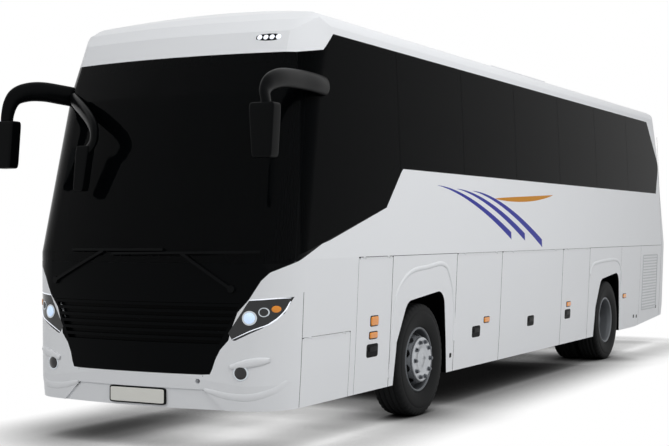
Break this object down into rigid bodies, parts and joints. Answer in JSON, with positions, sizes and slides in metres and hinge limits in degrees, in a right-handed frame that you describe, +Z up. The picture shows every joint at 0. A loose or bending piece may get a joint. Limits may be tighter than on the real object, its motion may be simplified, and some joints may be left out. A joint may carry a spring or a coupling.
{
  "type": "coach bus",
  "caption": "Two-axle touring coach with a raked curved windscreen, high glass band, side luggage lids, swing-out doors, steered front wheels and twin rear wheels.",
  "frame": {"origin": "on the ground, in the middle of the vehicle's plan box with its mirrors", "axes": "+X to the bus's left, +Y to its rear, +Z up"},
  "size_m": [2.98, 12.3699, 3.6898],
  "materials": {
    "body_white": "gloss",
    "tinted_glass": "gloss",
    "black_trim": "satin",
    "mask_black": "gloss",
    "lamp_clear": "gloss",
    "lamp_red": "gloss",
    "tyre": "matte",
    "rim_metal": "satin",
    "chassis_steel": "satin",
    "bellows": "matte",
    "floor_grey": "matte",
    "seat_cloth": "matte"
  },
  "bodies": {
    "coach_body": {"air_springs": "bellows", "bay_bulkheads": "floor_grey", "cab_floor_steps": "floor_grey", "cab_frame": "black_trim", "dashboard": "black_trim", "door_bearings": "chassis_steel", "engine_block": "chassis_steel", "floor_deck": "floor_grey", "front_axle_beam": "chassis_steel", "front_bumper": "body_white", "front_dome": "body_white", "front_mask": "mask_black", "headlamps": "lamp_clear", "luggage_racks": "floor_grey", "mirrors": "black_trim", "rear_axle_housing": "chassis_steel", "rear_glass": "tinted_glass", "rear_panel": "body_white", "roof_air_unit": "body_white", "roof_panel": "body_white", "seat_backs": "seat_cloth", "seat_cushions": "seat_cloth", "seat_frames": "chassis_steel", "side_glass_left": "tinted_glass", "side_glass_right": "tinted_glass", "side_wall_left": "body_white", "side_wall_right": "body_white", "skirt_panels_left": "body_white", "skirt_panels_right": "body_white", "tail_lamps": "lamp_red", "tanks": "chassis_steel", "underframe": "chassis_steel", "wheel_housings": "black_trim", "windscreen": "tinted_glass", "wipers": "black_trim"},
    "knuckle_left": {"knuckle_left": "chassis_steel"},
    "knuckle_right": {"knuckle_right": "chassis_steel"},
    "tie_rod": {"tie_rod": "chassis_steel"},
    "wheel_front_left": {"tyre_front_left": "tyre", "rim_front_left": "rim_metal"},
    "wheel_front_right": {"tyre_front_right": "tyre", "rim_front_right": "rim_metal"},
    "wheel_rear_left": {"tyre_rear_left": "tyre", "rim_rear_left": "rim_metal"},
    "wheel_rear_right": {"tyre_rear_right": "tyre", "rim_rear_right": "rim_metal"},
    "steering_wheel": {"steering_wheel": "black_trim"},
    "front_door_post": {"front_door_post": "chassis_steel"},
    "front_door_leaf": {"front_door_leaf": "body_white", "front_door_glass": "tinted_glass"},
    "middle_door_post": {"middle_door_post": "chassis_steel"},
    "middle_door_leaf": {"middle_door_leaf": "body_white"},
    "front_flap_left": {"front_flap_left": "body_white"},
    "service_flap_left": {"service_flap_left": "body_white"},
    "luggage_lid_left_1": {"luggage_lid_left_1": "body_white"},
    "luggage_lid_left_2": {"luggage_lid_left_2": "body_white"},
    "luggage_lid_left_3": {"luggage_lid_left_3": "body_white"},
    "luggage_lid_right_1": {"luggage_lid_right_1": "body_white"},
    "luggage_lid_right_2": {"luggage_lid_right_2": "body_white"},
    "engine_lid": {"engine_lid": "body_white"}
  },
  "joints": [
    {"name": "steer_left", "type": "hinge", "parent": "coach_body", "child": "knuckle_left", "pos_m": [0.985, -3.065, 0.5], "axis": [0, 0, 1], "range_deg": [-40, 40]},
    {"name": "steer_right", "type": "hinge", "parent": "coach_body", "child": "knuckle_right", "pos_m": [-0.985, -3.065, 0.5], "axis": [0, 0, 1], "range_deg": [-40, 40]},
    {"name": "tie_rod_pivot", "type": "hinge", "parent": "knuckle_left", "child": "tie_rod", "pos_m": [0.985, -2.905, 0.43], "axis": [0, 0, 1], "range_deg": [-40, 40]},
    {"name": "wheel_front_left_spin", "type": "hinge", "parent": "knuckle_left", "child": "wheel_front_left", "pos_m": [1.086, -3.065, 0.522], "axis": [1, 0, 0], "continuous": true},
    {"name": "wheel_front_right_spin", "type": "hinge", "parent": "knuckle_right", "child": "wheel_front_right", "pos_m": [-1.086, -3.065, 0.522], "axis": [1, 0, 0], "continuous": true},
    {"name": "wheel_rear_left_spin", "type": "hinge", "parent": "coach_body", "child": "wheel_rear_left", "pos_m": [0.919, 2.985, 0.522], "axis": [1, 0, 0], "continuous": true},
    {"name": "wheel_rear_right_spin", "type": "hinge", "parent": "coach_body", "child": "wheel_rear_right", "pos_m": [-0.919, 2.985, 0.522], "axis": [1, 0, 0], "continuous": true},
    {"name": "steering_wheel_turn", "type": "hinge", "parent": "coach_body", "child": "steering_wheel", "pos_m": [0.55, -5.029, 1.4727], "axis": [0, 0.5736, 0.8192], "range_deg": [-720, 720]},
    {"name": "front_flap_left_hinge", "type": "hinge", "parent": "coach_body", "child": "front_flap_left", "pos_m": [1.2472, -4.935, 0.883], "axis": [0, -1, 0], "range_deg": [0, 90]},
    {"name": "service_flap_left_hinge", "type": "hinge", "parent": "coach_body", "child": "service_flap_left", "pos_m": [1.276, -4.09, 1.495], "axis": [0, -1, 0], "range_deg": [0, 90]},
    {"name": "luggage_lid_left_1_hinge", "type": "hinge", "parent": "coach_body", "child": "luggage_lid_left_1", "pos_m": [1.276, -1.667, 1.495], "axis": [0, -1, 0], "range_deg": [0, 90]},
    {"name": "luggage_lid_left_2_hinge", "type": "hinge", "parent": "coach_body", "child": "luggage_lid_left_2", "pos_m": [1.276, -0.015, 1.495], "axis": [0, -1, 0], "range_deg": [0, 90]},
    {"name": "luggage_lid_left_3_hinge", "type": "hinge", "parent": "coach_body", "child": "luggage_lid_left_3", "pos_m": [1.276, 1.56, 1.495], "axis": [0, -1, 0], "range_deg": [0, 90]},
    {"name": "luggage_lid_right_1_hinge", "type": "hinge", "parent": "coach_body", "child": "luggage_lid_right_1", "pos_m": [-1.276, -1.667, 1.495], "axis": [0, 1, 0], "range_deg": [0, 90]},
    {"name": "luggage_lid_right_2_hinge", "type": "hinge", "parent": "coach_body", "child": "luggage_lid_right_2", "pos_m": [-1.276, -0.015, 1.495], "axis": [0, 1, 0], "range_deg": [0, 90]},
    {"name": "engine_lid_hinge", "type": "hinge", "parent": "coach_body", "child": "engine_lid", "pos_m": [0, 6.0895, 1.895], "axis": [1, 0, 0], "range_deg": [0, 90]},
    {"name": "front_door_post_turn", "type": "hinge", "parent": "coach_body", "child": "front_door_post", "pos_m": [-1.138, -4.628, 1.5], "axis": [0, 0, -1], "range_deg": [0, 143]},
    {"name": "front_door_leaf_turn", "type": "hinge", "parent": "front_door_post", "child": "front_door_leaf", "pos_m": [-1.1118, -5.1273, 1.5], "axis": [0, 0, -1], "range_deg": [-143, 0]},
    {"name": "middle_door_post_turn", "type": "hinge", "parent": "coach_body", "child": "middle_door_post", "pos_m": [-1.138, 1.712, 1.5], "axis": [0, 0, -1], "range_deg": [0, 143]},
    {"name": "middle_door_leaf_turn", "type": "hinge", "parent": "middle_door_post", "child": "middle_door_leaf", "pos_m": [-1.1118, 1.2127, 1.5], "axis": [0, 0, -1], "range_deg": [-143, 0]}
  ],
  "couplings": [
    {"joint": "steer_right", "follows": "steer_left", "ratio": 1},
    {"joint": "tie_rod_pivot", "follows": "steer_left", "ratio": -1},
    {"joint": "steering_wheel_turn", "follows": "steer_left", "ratio": 18},
    {"joint": "front_door_leaf_turn", "follows": "front_door_post_turn", "ratio": -1},
    {"joint": "middle_door_leaf_turn", "follows": "middle_door_post_turn", "ratio": -1}
  ]
}
